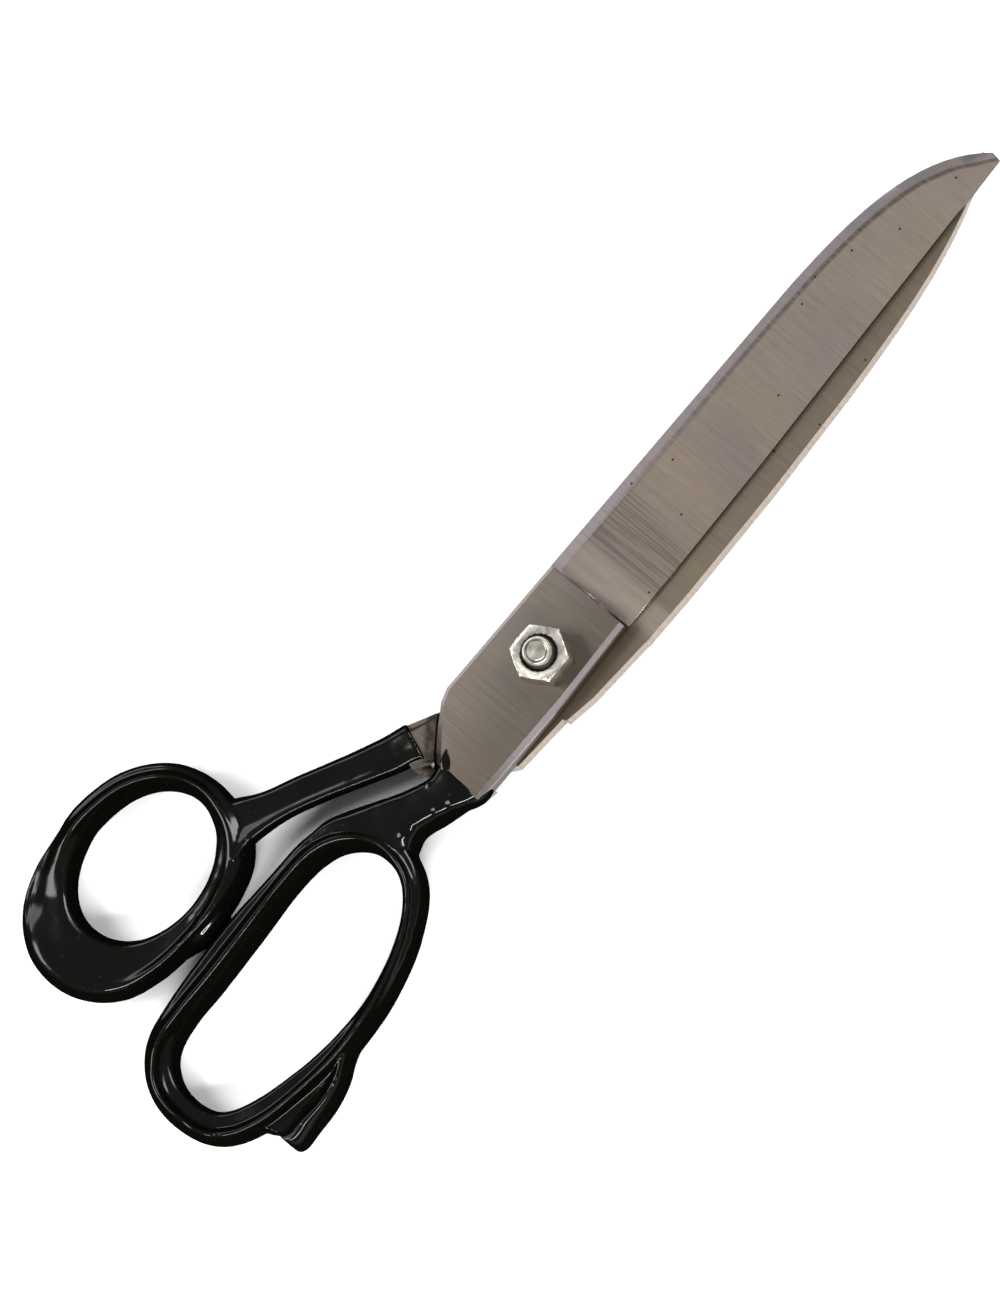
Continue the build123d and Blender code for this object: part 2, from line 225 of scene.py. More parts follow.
def even_steps(curve, count, closed):
    """The curve's rows at even steps of length along its first two columns."""
    path = np.vstack([curve, curve[:1]]) if closed else curve
    steps = np.hypot(*np.diff(path[:, :2], axis=0).T)
    along = np.concatenate([[0], np.cumsum(steps)])
    wanted = np.linspace(0, along[-1], count, endpoint=not closed)
    return np.column_stack([np.interp(wanted, along, column) for column in path.T])


def handle_profile(ridge, shelf, undercut):
    """Closed section of a coated handle: across it from 0 to 1, and up from 0 to 1.

    Its top is a bead at the ridge that stands on a shelf, and both edges are well rounded. The
    undercut is how far the side at 1 slants in at the bottom.
    """
    across = np.linspace(0.02, 0.98, TOP_POINTS)
    bead = np.exp(-((across - ridge) / BEAD_WIDTH)**2)
    edge = (1 - np.abs(2 * across - 1)**EDGE_POWER)**EDGE_ROUNDING
    top = (shelf + (1 - shelf) * bead) * edge
    rows = [(0, SIDE_HEIGHT), *zip(across, top), (1, SIDE_HEIGHT), *UNDERSIDE]
    profile = even_steps(smooth_curve(rows, True, 4), PROFILE_POINTS, True)
    profile[:, 0] *= 1 - undercut * (1 - profile[:, 1])
    return profile


# ---- Meshes ----

def linked(name, data):
    """New object in the scene with the data."""
    piece = bpy.data.objects.new(name, data)
    bpy.context.scene.collection.objects.link(piece)
    return piece


def new_object(name, vertices, faces):
    mesh = bpy.data.meshes.new(name)
    mesh.from_pydata([tuple(v) for v in vertices], [], faces)
    mesh.validate()
    return linked(name, mesh)


def shade_smooth(piece):
    piece.data.polygons.foreach_set("use_smooth", [True] * len(piece.data.polygons))


def grid_faces(rings, around, closed):
    """Quads between rings of the same number of points, and caps at open ends."""
    faces = []
    last = rings if closed else rings - 1
    for i in range(last):
        for j in range(around):
            a, b = i * around, (i + 1) % rings * around
            k = (j + 1) % around
            faces.append((a + j, a + k, b + k, b + j))
    if not closed:
        end = (rings - 1) * around
        faces.append(tuple(range(around - 1, -1, -1)))
        faces.append(tuple(range(end, end + around)))
    return faces


def swept(stations, closed, undercut=0.0):
    """Vertices and faces through sections. A station is start, end, low, high, ridge, shelf."""
    vertices = []
    for start, end, low, high, ridge, shelf in stations:
        profile = handle_profile(ridge, shelf, undercut)
        plan = start + profile[:, :1] * (end - start)
        heights = low + profile[:, 1:] * (high - low)
        vertices.append(np.hstack([plan, heights]))
    around = len(vertices[0])
    return np.vstack(vertices) * MM, grid_faces(len(stations), around, closed)


def band_stations(rows, centre):
    """Stations of a closed band: rows are hole point, width, ridge and shelf."""
    points = rows[:, :2]
    along = np.roll(points, -1, axis=0) - np.roll(points, 1, axis=0)
    along /= np.linalg.norm(along, axis=1)[:, None]
    out = np.column_stack([-along[:, 1], along[:, 0]])
    if np.sum(out * (points - centre)) < 0:
        out = -out
    ends = points + out * rows[:, 2:3]
    return [(start, end, HANDLE_LOW, HANDLE_HIGH, row[3], row[4])
            for start, end, row in zip(points, ends, rows)]


def finger_band():
    rows = even_steps(smooth_curve(FINGER_BAND, True), FINGER_STATIONS, True)
    return swept(band_stations(rows, rows[:, :2].mean(axis=0)), True)


def thumb_band():
    x, y, radius_x, radius_y = THUMB_HOLE
    keys = [(x + radius_x * cos(radians(turn)), y + radius_y * sin(radians(turn)), *rest)
            for turn, *rest in THUMB_BAND]
    rows = even_steps(smooth_curve(keys, True), THUMB_STATIONS, True)
    return swept(band_stations(rows, np.array([x, y])), True)


def bar(rows, undercut=0.0):
    """A shank or tang between pairs of side points."""
    smooth = smooth_curve(rows, False)
    return swept([(row[:2], row[2:4], *row[4:]) for row in smooth], False, undercut)


def joined(name, shapes):
    """One object out of several closed shapes."""
    vertices = []
    faces = []
    start = 0
    for points, quads in shapes:
        vertices.append(points)
        faces += [tuple(start + index for index in face) for face in quads]
        start += len(points)
    piece = new_object(name, np.vstack(vertices), faces)
    outward = bmesh.new()
    outward.from_mesh(piece.data)
    bmesh.ops.recalc_face_normals(outward, faces=outward.faces)
    outward.to_mesh(piece.data)
    outward.free()
    return piece


def ringed(name, rings):
    """Smooth closed object through rings of the same number of points, in millimetres."""
    faces = grid_faces(len(rings), len(rings[0]), False)
    piece = joined(name, [(np.array(rings).reshape(-1, 3) * MM, faces)])
    shade_smooth(piece)
    return piece


def with_modifiers_applied(piece):
    bpy.context.view_layer.update()
    evaluated = piece.evaluated_get(bpy.context.evaluated_depsgraph_get())
    mesh = bpy.data.meshes.new_from_object(evaluated)
    piece.modifiers.clear()
    piece.data = mesh
    return piece


def fused(piece):
    """The shapes in the piece become one skin, with their joints smoothed over."""
    remesh = piece.modifiers.new("fuse", "REMESH")
    remesh.mode = "VOXEL"
    remesh.voxel_size = VOXEL * MM
    smooth = piece.modifiers.new("flow", "SMOOTH")
    smooth.factor = 0.5
    smooth.iterations = FLOW
    with_modifiers_applied(piece)
    shade_smooth(piece)
    return piece


def bubble_lift(place, bubbles):
    """How far the bubbles and dents raise the coat at the place."""
    lift = 0.0
    for x, y, radius, height in bubbles:
        away = ((place.x - x)**2 + (place.y - y)**2) / radius**2
        if away < BUBBLE_REACH**2:
            lift += height * exp(-BUBBLE_FALL * away)
    return lift


def waved(piece, bubbles):
    """Slow waves in a thick dipped coat along its normals, and bubbles that lift its upper side."""
    mesh = piece.data
    normals = [v.normal.copy() for v in mesh.vertices]
    for vertex, normal in zip(mesh.vertices, normals):
        place = vertex.co / MM
        wave = sum(height * noise.noise(place * rate) for rate, height in COAT_WAVES)
        lift = Vector((0, 0, bubble_lift(place, bubbles) * max(normal.z, 0)))
        vertex.co += (normal * wave + lift) * MM
    mesh.update()
    return piece


# ---- Materials ----

class Nodes:
    """Short ways to build a node material. Places are in metres, as Blender gives them."""

    def __init__(self, name):
        self.material = bpy.data.materials.new(name)
        self.material.use_nodes = True
        self.tree = self.material.node_tree
        self.shader = self.tree.nodes["Principled BSDF"]
        coordinates = self.add("ShaderNodeTexCoord")
        self.place = coordinates.outputs["Object"]
        self.x, self.y, self.z = self.parts(self.place)
        self.facing_x, self.facing_y, self.facing_z = self.parts(coordinates.outputs["Normal"])

    def add(self, kind, **settings):
        node = self.tree.nodes.new(kind)
        for key, value in settings.items():
            setattr(node, key, value)
        return node

    def put(self, socket, value):
        """Links an output to the socket, or sets the socket to a plain value."""
        if isinstance(value, bpy.types.NodeSocket):
            self.tree.links.new(value, socket)
        else:
            socket.default_value = value

    def parts(self, vector):
        """The three numbers of a vector or colour."""
        split = self.add("ShaderNodeSeparateXYZ")
        self.put(split.inputs["Vector"], vector)
        return list(split.outputs)

    def stretched(self, scale):
        mapping = self.add("ShaderNodeMapping")
        self.put(mapping.inputs["Vector"], self.place)
        mapping.inputs["Scale"].default_value = scale
        return mapping.outputs["Vector"]

    def noise(self, scale, detail=3.0, rough=0.5, vector=None):
        texture = self.add("ShaderNodeTexNoise")
        self.put(texture.inputs["Vector"], vector or self.place)
        texture.inputs["Scale"].default_value = scale
        texture.inputs["Detail"].default_value = detail
        texture.inputs["Roughness"].default_value = rough
        return texture.outputs["Fac"]

    def ramp(self, value, stops):
        """Value from 0 to 1 into colours, from (place, colour) stops."""
        node = self.add("ShaderNodeValToRGB")
        self.put(node.inputs["Fac"], value)
        elements = node.color_ramp.elements
        while len(elements) < len(stops):
            elements.new(0.5)
        for element, (place, colour) in zip(elements, stops):
            element.position = place
            element.color = (*colour, 1)
        return node.outputs["Color"]

    def band(self, value, low, high, to_low=0.0, to_high=1.0):
        """Smooth step from one value at low to the other at high."""
        node = self.add("ShaderNodeMapRange")
        node.interpolation_type = "SMOOTHSTEP"
        numbers = {"From Min": low, "From Max": high, "To Min": to_low, "To Max": to_high}
        for name, number in numbers.items():
            node.inputs[name].default_value = number
        self.put(node.inputs["Value"], value)
        return node.outputs["Result"]

    def step(self, value, low, high, to_low=0.0, to_high=1.0):
        """Smooth step between two places in millimetres."""
        return self.band(value, low * MM, high * MM, to_low, to_high)

    def strip(self, value, start, full, fade, end):
        """Mask that is full from one place to the next and 0 outside, in millimetres."""
        return self.times(self.step(value, start, full), self.step(value, fade, end, 1.0, 0.0))

    def math(self, operation, a, b=0.0, c=0.0):
        node = self.add("ShaderNodeMath", operation=operation)
        for socket, value in zip(node.inputs, (a, b, c)):
            self.put(socket, value)
        return node.outputs["Value"]

    def times(self, first, *others):
        product = first
        for other in others:
            product = self.math("MULTIPLY", product, other)
        return product

    def mix(self, factor, a, b):
        """Colour a, with as much of the colour b over it as the factor says."""
        node = self.add("ShaderNodeMix", data_type="RGBA")
        self.put(node.inputs["Factor"], factor)
        for socket, colour in (("A", a), ("B", b)):
            self.put(node.inputs[socket], (*colour, 1) if isinstance(colour, tuple) else colour)
        return node.outputs["Result"]

    def curve(self, value, points):
        """Smooth curve through points, all between 0 and 1."""
        node = self.add("ShaderNodeFloatCurve")
        line = node.mapping.curves[0].points
        while len(line) < len(points):
            line.new(0.5, 0.5)
        for point, place in zip(line, points):
            point.location = place
        node.mapping.update()
        self.put(node.inputs["Value"], value)
        return node.outputs["Value"]

    def bump(self, height, strength, distance, normal=None):
        node = self.add("ShaderNodeBump")
        node.inputs["Strength"].default_value = strength
        node.inputs["Distance"].default_value = distance
        self.put(node.inputs["Height"], height)
        if normal is not None:
            self.put(node.inputs["Normal"], normal)
        return node.outputs["Normal"]

    def finish(self, colour, roughness, normal, **constants):
        for name, value in (("Base Color", colour), ("Roughness", roughness), ("Normal", normal)):
            self.put(self.shader.inputs[name], value)
        for name, value in constants.items():
            self.shader.inputs[name.replace("_", " ")].default_value = value
        return self.material


# Colours of the steel, from clean ground faces to dark paint smears, with painted reflections and
# painted shade among them.
STEEL_TINTS = [(0.30, (0.300, 0.246, 0.226)), (0.45, (0.325, 0.262, 0.236)),
               (0.62, (0.350, 0.286, 0.226)), (0.76, (0.300, 0.248, 0.222))]
STEEL_CLOUD = (0.385, 0.325, 0.285)
DARK_GRAIN = (0.20, 0.165, 0.14)
# The bosses' colour: darker than the ground face, with painted shade towards the front (-Y) edge.
BOSS_SHADED_FRONT = (0.136, 0.115, 0.095)
BOSS_BACK = (0.226, 0.195, 0.169)
LOWER_FACE = (0.214, 0.172, 0.124)
LIGHT_BAND = (0.47, 0.40, 0.33)
SCORED_BAND = (0.085, 0.072, 0.065)
NECK_SCORES = (0.15, 0.12, 0.09)
# Painted reflections and painted shade on the upper forging's bevel, chamfers and back wall.
BACK_BEVEL_SHEEN = (0.285, 0.258, 0.275)
BACK_WALL_SHADE = (0.20, 0.175, 0.18)
NECK_BACK_SHADE = (0.11, 0.095, 0.08)
FRONT_CHAMFER_SHEEN = (0.31, 0.27, 0.28)
NECK_FRONT_SHADE = (0.17, 0.145, 0.135)
# Painted shade along where the back bevel meets the ground face.
CREASE_SHADE = (0.10, 0.080, 0.062)
# Painted light on the lower blade's back wall, with its darker grinding ticks.
LOWER_BACK_LIT = (0.38, 0.315, 0.26)
LOWER_BACK_TICKS = (0.23, 0.18, 0.14)
# Painted shade on the upper blade's cutting-edge wall.
CUTTING_EDGE_SHADE = (0.05, 0.037, 0.025)
# Painted shade in the cove of the ledge where the ground face starts.
LEDGE_SHADE = (0.045, 0.034, 0.026)
# Dark paint smears and painted shade on the lower blade's neck between the coats.
NECK_SMEARS_AND_SHADE = (0.035, 0.028, 0.020)
PIT = (0.02, 0.018, 0.015)

# The boss ends towards the neck along the line y = slope * x + offset.
BOSS_END_SLOPE = 0.768
BOSS_END_OFFSET = 32.0
PIT_CELLS = 105.0           # per metre, of which about a third hold a pit


def steel_colour(n, grain):
    """Warm grey steel, tinted by heat, darker on the bosses and the lower blade's inner face, with
    painted shade towards the bosses' front edges.
    """
    colour = n.ramp(n.noise(24.0, 2.0), STEEL_TINTS)
    cloud = n.noise(70.0, 3.0, 0.6)
    colour = n.mix(n.band(cloud, 0.35, 0.70, 0.0, 0.30), colour, STEEL_CLOUD)
    # Painted shade: the boss darkens towards its front (-Y) edge.
    boss = n.mix(n.step(n.y, -8.0, 16.0), BOSS_SHADED_FRONT, BOSS_BACK)
    colour = n.mix(n.step(n.x, 17.5, 19.0, 0.9, 0.0), colour, boss)
    colour = n.mix(n.step(n.z, MATING_Z, MATING_Z - 0.08, 0.0, 0.85), colour, LOWER_FACE)
    return n.mix(n.band(grain, 0.35, 0.75, 0.0, 0.10), colour, DARK_GRAIN)


def scored_band(n, streaks):
    """Mask for the deep scores across the root of the ground face."""
    reach = n.times(n.strip(n.x, 27.0, 29.5, 38.0, 54.0), n.band(streaks, 0.40, 0.60, 0.35, 1.0))
    return n.times(reach, 0.70, n.step(n.z, MATING_Z + 0.1, MATING_Z + 0.6))


def with_grinding_marks(n, colour, scores, streaks):
    """The light band and the scored band at the root of the ground face, and the neck's scores."""
    colour = n.mix(n.times(n.strip(n.x, 19.0, 21.5, 25.5, 28.5), 0.40), colour, LIGHT_BAND)
    colour = n.mix(scores, colour, SCORED_BAND)
    neck = n.times(n.step(n.x, -19.0, -26.0), n.band(streaks, 0.46, 0.62), 0.35)
    return n.mix(neck, colour, NECK_SCORES)


def with_ledge_and_neck_shade(n, colour, ledge):
    """Painted shade in the ledge at the boss's end, and dark paint smears with painted shade on the
    neck, thicker close to the boss.
    """
    colour = n.mix(n.times(ledge, 0.95), colour, LEDGE_SHADE)
    boss_end = n.math("MULTIPLY_ADD", n.x, BOSS_END_SLOPE, BOSS_END_OFFSET * MM)
    past_boss = n.math("SUBTRACT", n.y, boss_end)
    # Painted shade and dark smears on the neck, strongest next to the boss's end.
    smears_and_shade = n.times(n.step(n.x, -24.0, -27.0), n.step(n.z, BOSS_TOP_Z - 0.9, BOSS_TOP_Z - 1.5),
                   n.step(past_boss, 5.5, 3.5, 0.45, 0.95),
                   n.band(n.noise(260.0, 3.0, 0.6), 0.30, 0.55, 0.7, 1.0))
    return n.mix(smears_and_shade, colour, NECK_SMEARS_AND_SHADE)


def with_chamfer_sheen_and_shade(n, colour, above):
    """Painted reflections on the upper forging's bevel and chamfers, picked by which way each face
    turns: bright, with painted shade on the back wall and along the neck.
    """
    # Painted reflection on the back bevel, painted shade on the steeper back wall and along the
    # neck.
    back = n.mix(n.band(n.facing_y, 0.45, 0.60), BACK_BEVEL_SHEEN, BACK_WALL_SHADE)
    back = n.mix(n.step(n.x, -23.5, -25.0), back, NECK_BACK_SHADE)
    colour = n.mix(n.times(n.band(n.facing_y, 0.04, 0.10), above, 0.85), colour, back)
    front = n.mix(n.step(n.x, -16.0, -34.0), FRONT_CHAMFER_SHEEN, NECK_FRONT_SHADE)
    return n.mix(n.times(n.band(n.facing_y, -0.35, -0.50), above, 0.85), colour, front)


def with_crease_shade(n, colour, above, streaks):
    """Painted shade: a dark line along BACK_CREASE that grows stronger towards the tip."""
    start, top = BACK_CREASE[0]
    end, bottom = BACK_CREASE[-1]
    length = end - start
    drop = top - bottom
    points = [((x - start) / length, (y - bottom) / drop) for x, y in BACK_CREASE]
    along = n.math("MULTIPLY_ADD", n.x, 1 / (length * MM), -start / length)
    across = n.math("MULTIPLY_ADD", n.y, 1 / (drop * MM), -bottom / drop)
    away = n.math("ABSOLUTE", n.math("SUBTRACT", across, n.curve(along, points)))
    near = n.times(n.band(away, 0.010, 0.042, 1.0, 0.0), n.step(n.x, 18.3, 120.0))
    crease = n.times(n.math("POWER", near, 0.5), above, n.band(streaks, 0.30, 0.60, 0.45, 0.80))
    return n.mix(crease, colour, CREASE_SHADE)


def with_lit_back_and_edge_shade(n, colour):
    """Painted light on the lower blade's back, which keeps its darker grinding ticks, and painted
    shade on the upper blade's cutting-edge wall.
    """
    wall = n.band(n.math("ABSOLUTE", n.facing_z), 0.20, 0.60, 1.0, 0.0)
    ticks = n.band(n.noise(1.0, 2.0, 0.7, n.stretched((3400, 300, 60))), 0.46, 0.62, 0.0, 0.5)
    # Painted light on the lower blade's back wall.
    back = n.times(wall, n.step(n.z, MATING_Z - 0.1, MATING_Z - 0.5), 0.9)
    colour = n.mix(back, colour, n.mix(ticks, LOWER_BACK_LIT, LOWER_BACK_TICKS))
    # Painted shade on the upper blade's cutting-edge wall.
    edge = n.times(wall, n.step(n.z, MATING_Z - 0.2, MATING_Z),
                   n.step(n.z, MATING_Z + 3.5, MATING_Z + 2.9), n.step(n.y, 2.0, -2.0), 0.9)
    return n.mix(edge, colour, CUTTING_EDGE_SHADE)


def rust_pits(n):
    """Mask for a few small pits scattered over the blades."""
    cells = n.add("ShaderNodeTexVoronoi", voronoi_dimensions="2D")
    n.put(cells.inputs["Vector"], n.place)
    cells.inputs["Scale"].default_value = PIT_CELLS
    chosen = n.band(n.parts(cells.outputs["Color"])[0], 0.66, 0.68)
    spot = n.band(cells.outputs["Distance"], 0.018, 0.038, 1.0, 0.0)
    return n.times(spot, chosen, n.step(n.x, 20.0, 21.0))


def ground_steel():
    """Cross-ground forged steel, with heat tints, scored bands, dark paint smears and pits, and
    painted reflections and painted shade on its chamfers, walls and hollows.
    """
    n = Nodes("ground_steel")
    grain = n.noise(1.0, 4.0, 0.6, n.stretched((2600, 60, 200)))
    streaks = n.noise(1.0, 3.0, 0.6, n.stretched((2000, 36, 60)))
    scores = scored_band(n, streaks)
    # The ledge at the ground face's root, which gets painted shade and more roughness.
    ledge = n.times(n.band(n.facing_x, 0.08, 0.30), n.step(n.x, 21.5, 20.5))
    above = n.times(n.step(n.z, MATING_Z + 0.6, MATING_Z + 1.3), n.math("SUBTRACT", 1.0, ledge))
    pits = rust_pits(n)

    colour = steel_colour(n, grain)
    colour = with_grinding_marks(n, colour, scores, streaks)
    colour = with_ledge_and_neck_shade(n, colour, ledge)
    colour = with_chamfer_sheen_and_shade(n, colour, above)
    colour = with_crease_shade(n, colour, above, streaks)
    colour = with_lit_back_and_edge_shade(n, colour)
    colour = n.mix(pits, colour, PIT)

    rough = n.math("ADD", n.band(grain, 0.2, 0.8, 0.36, 0.42), n.times(scores, 0.10))
    rough = n.math("ADD", rough, n.times(ledge, 0.45))
    root = n.strip(n.x, 19.0, 22.0, 42.0, 60.0)
    relief = n.times(grain, n.math("MULTIPLY_ADD", root, 0.7, 0.3))
    normal = n.bump(relief, 0.06, 0.03 * MM)
    normal = n.bump(scores, 0.20, 0.08 * MM, normal)
    normal = n.bump(n.math("SUBTRACT", 1.0, pits), 0.15, 0.05 * MM, normal)
    return n.finish(colour, rough, normal, Metallic=1.0)


COAT_BLACK = (0.0018, 0.0018, 0.0013)
COAT_DUST = (0.04, 0.04, 0.036)


def dipped_coat():
    """Thick glossy black dip, with a faint peel and a little dust."""
    n = Nodes("dipped_coat")
    peel = n.noise(420.0, 2.0)
    slow = n.noise(90.0, 2.0)
    dust = n.noise(2600.0, 1.0)
    colour = n.mix(n.band(dust, 0.74, 0.80), COAT_BLACK, COAT_DUST)
    rough = n.band(slow, 0.3, 0.7, 0.09, 0.17)
    normal = n.bump(peel, 0.10, 0.1 * MM, n.bump(slow, 0.22, 0.6 * MM))
    slant = n.add("ShaderNodeLayerWeight").outputs["Facing"]
    n.put(n.shader.inputs["Specular IOR Level"], n.band(slant, 0.10, 0.34, 0.24, 0.0))
    return n.finish(colour, rough, normal)


ZINC_TINTS = [(0.30, (0.50, 0.47, 0.41)), (0.65, (0.66, 0.63, 0.56))]
# Painted shade on the nut's sides, in the turned groove and in the gap between thread and nut.
ZINC_SHADED_SIDES = (0.24, 0.225, 0.19)
TURNED_GROOVE_SHADE = (0.10, 0.09, 0.07)
THREAD_SHADE = (0.02, 0.016, 0.012)


def zinc_plate():
    """Zinc plate gone a little warm and dull, with painted shade on the nut's sides, in the turned
    groove on the bolt's end and in the gap round the thread.
    """
    n = Nodes("zinc_plate")
    cloud = n.noise(320.0, 2.0)
    radius = n.math("SQRT", n.math("ADD", n.times(n.x, n.x), n.times(n.y, n.y)))
    # Painted shade on the nut's sides.
    sides = n.times(n.band(n.facing_z, 0.75, 0.35), n.step(n.z, NUT_TOP_Z - 0.3, NUT_TOP_Z - 0.7))
    # Painted shade in the turned groove on the bolt's end.
    groove = n.times(n.strip(radius, 2.36, 2.48, 2.76, 2.84),
                     n.step(n.z, BOLT_TOP_Z - 1.0, BOLT_TOP_Z - 0.7))
    # Painted shade in the gap between the thread and the nut's countersink.
    thread_shade = n.times(n.strip(radius, 3.45, 3.65, 4.55, 4.80),
                     n.step(n.z, BOSS_TOP_Z + 0.5, BOSS_TOP_Z + 1.5))
    colour = n.ramp(cloud, ZINC_TINTS)
    colour = n.mix(n.times(sides, 0.85), colour, ZINC_SHADED_SIDES)
    colour = n.mix(n.times(groove, 0.75), colour, TURNED_GROOVE_SHADE)
    colour = n.mix(n.times(thread_shade, 0.95), colour, THREAD_SHADE)
    rough = n.math("ADD", n.band(cloud, 0.3, 0.7, 0.28, 0.40), n.times(thread_shade, 0.35))
    return n.finish(colour, rough, n.bump(n.noise(2600.0, 2.0), 0.08, 0.03 * MM), Metallic=1.0)


def pale_floor():
    n = Nodes("pale_floor")
    colour = n.mix(n.noise(8.0), (0.90, 0.90, 0.90), (0.93, 0.93, 0.93))
    return n.finish(colour, 0.8, n.bump(n.noise(300.0), 0.02, 0.2 * MM), Specular_IOR_Level=0.1)


# ---- Pieces ----

def dress(piece, material, body):
    piece.data.materials.clear()
    piece.data.materials.append(material)
    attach(piece, body)


def breadth(face):
    """Area over longest edge, which is about the narrower way across the face."""
    return face.calc_area() / max(edge.calc_length() for edge in face.edges)


def cut_off(edit, place, outward):
    """Removes what lies outward of the plane, and closes the piece there."""
    everything = edit.verts[:] + edit.edges[:] + edit.faces[:]
    result = bmesh.ops.bisect_plane(edit, geom=everything, plane_co=Vector(place) * MM,
                                    plane_no=outward, clear_outer=True)
    rim = [part for part in result["geom_cut"] if isinstance(part, bmesh.types.BMEdge)]
    bmesh.ops.holes_fill(edit, edges=rim)


def weigh_edges(edit, width):
    """Marks the sharp edges between faces that are broad enough to be eased by the width."""
    weights = edit.edges.layers.float.new("bevel_weight_edge")
    for edge in edit.edges:
        broad = all(breadth(face) > 3 * width * MM for face in edge.link_faces)
        edge[weights] = 1.0 if broad and edge.calc_face_angle(0.0) > SHARP_ANGLE else 0.0


def machined(name, node, width, end=None):
    """Copy of a CAD node with its sharp edges eased, and without what the coat hides."""
    mesh = frame["nodes"][node].data.copy()
    mesh.name = name
    edit = bmesh.new()
    edit.from_mesh(mesh)
    bmesh.ops.remove_doubles(edit, verts=edit.verts, dist=SAME_PLACE * MM)
    if end:
        cut_off(edit, *end)
    bmesh.ops.dissolve_limit(edit, angle_limit=FLAT_ANGLE, verts=edit.verts, edges=edit.edges)
    weigh_edges(edit, width)
    edit.to_mesh(mesh)
    edit.free()
    piece = linked(name, mesh)
    shade_smooth(piece)
    bevel = piece.modifiers.new("eased", "BEVEL")
    bevel.width = width * MM
    bevel.segments = 2
    bevel.limit_method = "WEIGHT"
    piece.modifiers.new("flat_faces_first", "WEIGHTED_NORMAL").weight = 90
    return with_modifiers_applied(piece)


def mark_sharp(mesh, angle):
    """Edges that turn more than the angle stay sharp."""
    edit = bmesh.new()
    edit.from_mesh(mesh)
    for edge in edit.edges:
        edge.smooth = edge.calc_face_angle(0.0) < angle
    edit.to_mesh(mesh)
    edit.free()


def circle(radius, z):
    turns = [2 * pi * j / BOLT_SIDES for j in range(BOLT_SIDES)]
    return [(radius * cos(turn), radius * sin(turn), z) for turn in turns]


def thread_ring(z):
    """Section of the thread at a height: its groove climbs by one pitch a turn."""
    ring = []
    for j in range(BOLT_SIDES):
        turn = 2 * pi * j / BOLT_SIDES
        phase = (z / THREAD_PITCH - j / BOLT_SIDES) % 1
        groove = THREAD_DEPTH * max(0, 1 - abs(2 * phase - 1) * THREAD_STEEPNESS)
        lead_in = THREAD_TIP_RADIUS + (BOLT_TOP_Z - z) * THREAD_LEAD_IN
        radius = min(THREAD_RADIUS - groove, lead_in)
        ring.append((radius * cos(turn), radius * sin(turn), z))
    return ring


def threaded_bolt():
    """Pivot bolt: low round head, smooth shank and a threaded end with a turned face."""
    head = [(POLE_RADIUS, 0), (BOLT_HEAD_RADIUS - 0.7, 0), (BOLT_HEAD_RADIUS - 0.25, 0.12),
            (BOLT_HEAD_RADIUS, 0.5), (BOLT_HEAD_RADIUS, HEAD_HEIGHT - 0.15),
            (BOLT_HEAD_RADIUS - 0.15, HEAD_HEIGHT)]
    shank = [(SHANK_RADIUS, HEAD_HEIGHT), (SHANK_RADIUS, NUT_TOP_Z - THREAD_LENGTH - 0.5)]
    thread = np.linspace(NUT_TOP_Z - THREAD_LENGTH, BOLT_TOP_Z - 0.02, THREAD_RINGS)
    rings = [circle(radius, z) for radius, z in head + shank]
    rings += [thread_ring(z) for z in thread]
    rings += [circle(radius, BOLT_TOP_Z - depth) for radius, depth in TURNED_FACE]
    piece = ringed("pivot_bolt_threaded", rings)
    mark_sharp(piece.data, radians(30))
    return piece


def paint_lick():
    """Thin leaf of coat that ran onto the boss."""
    rows = smooth_curve(PAINT_LICK, False, 6)
    along = np.gradient(rows[:, :2], axis=0)
    along /= np.linalg.norm(along, axis=1)[:, None]
    side = np.column_stack([-along[:, 1], along[:, 0]])
    turns = np.arange(12) * 2 * pi / 12
    rings = []
    for (x, y, half_width), (across_x, across_y) in zip(rows, side):
        rings.append([(x + across_x * half_width * cos(turn), y + across_y * half_width * cos(turn),
                       BOSS_TOP_Z + PAINT_LICK_RISE * sin(turn)) for turn in turns])
    return ringed("paint_lick", rings)


def make_handle(piece, coat, body, node, bubbles):
    waved(fused(piece), bubbles)
    dress(piece, coat, body)
    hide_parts(node)


def make_handles(coat):
    finger = joined("finger_bow_dip", [finger_band(), bar(FINGER_SHANK), bar(NECK_TONGUE),
                                       bar(FINGER_TANG)])
    thumb = joined("thumb_ring_dip", [thumb_band(), bar(THUMB_SHANK, THUMB_UNDERCUT),
                                      bar(CONTACT_PAD)])
    make_handle(finger, coat, "upper_half", "finger_bow_coat", FINGER_BUBBLES)
    make_handle(thumb, coat, "lower_half", "thumb_ring_coat", THUMB_BUBBLES)
    dress(paint_lick(), coat, "upper_half")


def make_blades(steel):
    upper = machined("upper_blade_ground", "upper_blade", UPPER_BLADE_EASE, UPPER_BLADE_END)
    lower = machined("lower_blade_ground", "lower_blade", LOWER_BLADE_EASE, LOWER_BLADE_END)
    dress(upper, steel, "upper_half")
    dress(lower, steel, "lower_half")
    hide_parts("upper_blade")
    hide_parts("lower_blade")


def make_pivot(zinc):
    bolt = threaded_bolt()
    nut = machined("pivot_nut_eased", "pivot_nut", NUT_EASE)
    dress(bolt, zinc, "lower_half")
    dress(nut, zinc, "lower_half")
    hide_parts("pivot_bolt")
    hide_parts("pivot_nut")


# ---- Scene ----
FLOOR_REACH = 3.0           # metres
FLOOR_Z = -0.0002
ROOM_LIGHT = 0.25
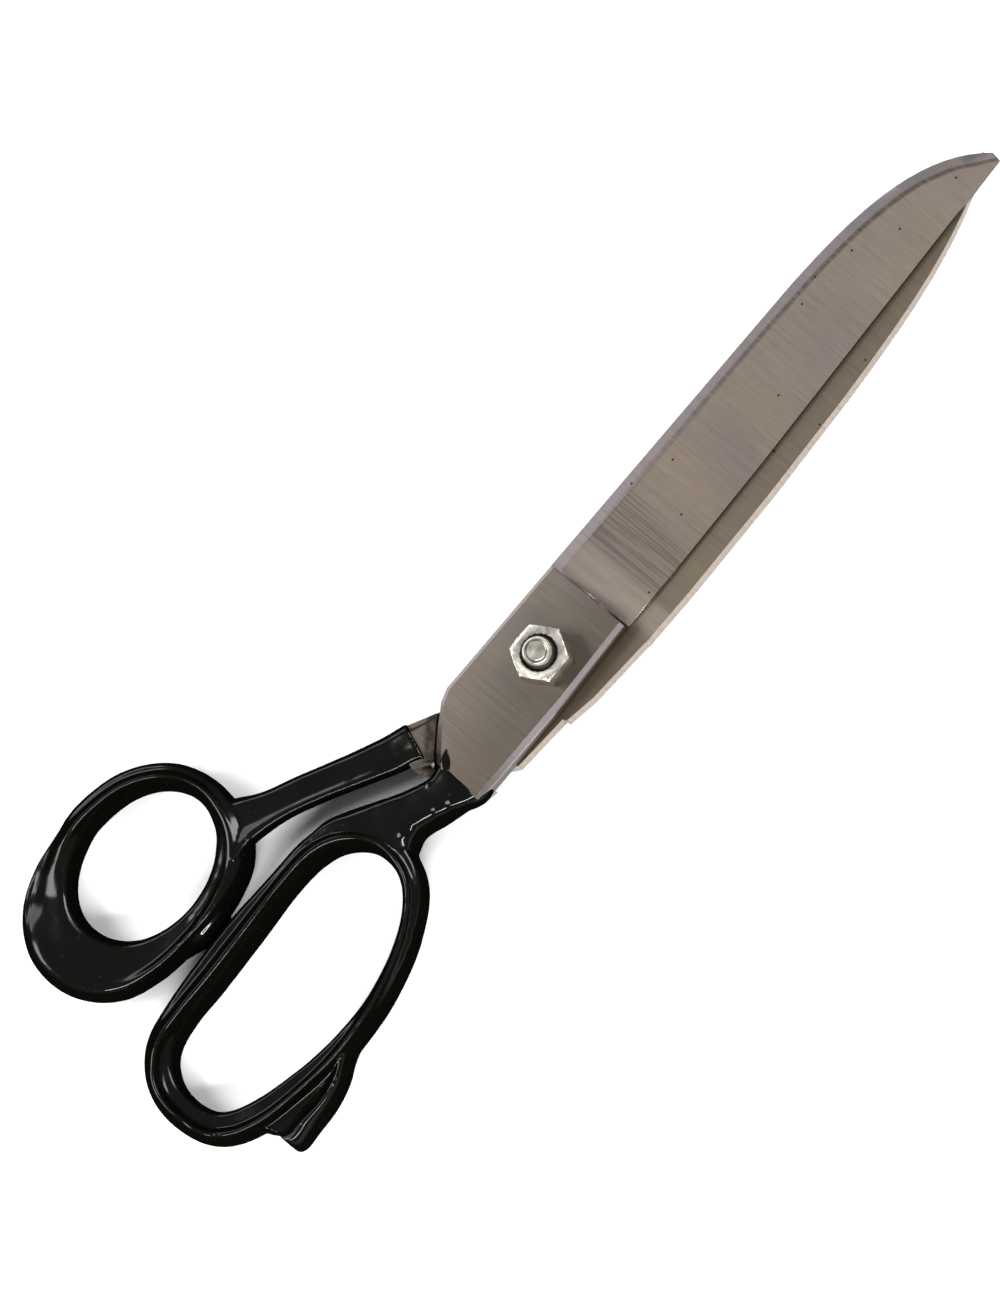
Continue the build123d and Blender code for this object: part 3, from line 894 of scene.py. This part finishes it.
# Area lights: direction from the shears, distance, width and height in metres, and watts.
SOFTBOXES = {
    "front_strip": ((-0.62, -0.80, 0.95), 1.3, (1.3, 0.12), 26),
    "left_softbox": ((-0.62, 0.66, 1.00), 1.3, (0.55, 0.55), 12),
    "right_softbox": ((0.95, -0.15, 0.90), 1.4, (0.5, 0.5), 12),
    "back_softbox": ((0.10, 1.00, 0.55), 1.4, (0.9, 0.3), 8),
}
VIEW_TILT = radians(18)     # of the view from straight down, towards -Y
VIEW_ROLL = radians(50.5)   # of the blades above the picture's horizontal
LENS = 300.0
SENSOR = 36.0
PICTURE_HEIGHT = 0.312      # metres that the picture's long side covers at the shears
TARGET = (-5.4, 11.8, 8.0)  # millimetres, at the middle of the picture


def make_floor():
    corners = [(-FLOOR_REACH, -FLOOR_REACH), (FLOOR_REACH, -FLOOR_REACH),
               (FLOOR_REACH, FLOOR_REACH), (-FLOOR_REACH, FLOOR_REACH)]
    floor = new_object("floor", [(x, y, FLOOR_Z) for x, y in corners], [(0, 1, 2, 3)])
    floor.data.materials.append(pale_floor())


def softbox(name, direction, distance, size, power):
    """Area light in a direction from the shears, facing them."""
    light = bpy.data.lights.new(name, "AREA")
    light.shape = "RECTANGLE"
    light.size, light.size_y = size
    light.energy = power
    lamp = linked(name, light)
    away = Vector(direction).normalized()
    lamp.location = away * distance
    lamp.rotation_euler = away.to_track_quat("Z", "Y").to_euler()


def make_light():
    world = bpy.data.worlds.new("soft_room")
    world.use_nodes = True
    background = world.node_tree.nodes["Background"]
    background.inputs["Color"].default_value = (1, 1, 1, 1)
    background.inputs["Strength"].default_value = ROOM_LIGHT
    bpy.context.scene.world = world
    for name, settings in SOFTBOXES.items():
        softbox(name, *settings)


def make_camera():
    data = bpy.data.cameras.new("camera")
    data.lens = LENS
    data.sensor_width = SENSOR
    data.clip_end = 20
    camera = linked("camera", data)
    back = Vector((0, -sin(VIEW_TILT), cos(VIEW_TILT)))
    across = Vector((0, cos(VIEW_TILT), sin(VIEW_TILT)))
    right = cos(VIEW_ROLL) * Vector((1, 0, 0)) - sin(VIEW_ROLL) * across
    up = back.cross(right)
    place = Vector(TARGET) * MM + back * (PICTURE_HEIGHT * LENS / SENSOR)
    turned = Matrix((right, up, back)).transposed().to_4x4()
    camera.matrix_world = Matrix.Translation(place) @ turned
    bpy.context.scene.camera = camera


bpy.context.scene.view_settings.view_transform = "Standard"
make_camera()
make_handles(dipped_coat())
make_blades(ground_steel())
make_pivot(zinc_plate())
make_floor()
make_light()
